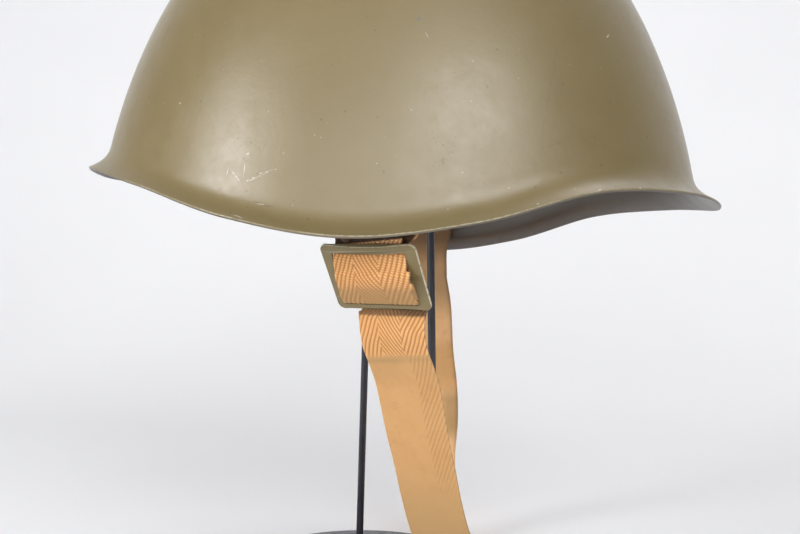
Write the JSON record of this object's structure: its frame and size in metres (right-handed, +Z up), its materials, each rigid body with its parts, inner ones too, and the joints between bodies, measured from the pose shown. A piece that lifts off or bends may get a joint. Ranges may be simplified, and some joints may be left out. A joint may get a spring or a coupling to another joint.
{
  "type": "military helmet on a display stand",
  "caption": "Domed pressed-steel helmet with a flared rim and a webbing chin strap with a slider, standing on a plain rod stand with a round foot.",
  "frame": {"origin": "on the underside of the stand's base, straight below the crown of the shell", "axes": "+Z up, -X to the front of the helmet, -Y to the wearer's left, where the strap's slider is"},
  "size_m": [0.2874, 0.2436, 0.3366],
  "materials": {
    "olive_paint": "worn satin paint",
    "cotton_webbing": "woven cotton",
    "stand_metal": "satin"
  },
  "bodies": {
    "root": {"helmet_shell": "olive_paint", "chin_strap": "cotton_webbing", "strap_slider": "olive_paint", "left_strap_bracket": "olive_paint", "right_strap_bracket": "olive_paint", "stand_base": "stand_metal", "stand_rod_near": "stand_metal", "stand_rod_far": "stand_metal", "stand_cradle": "stand_metal"}
  },
  "joints": []
}
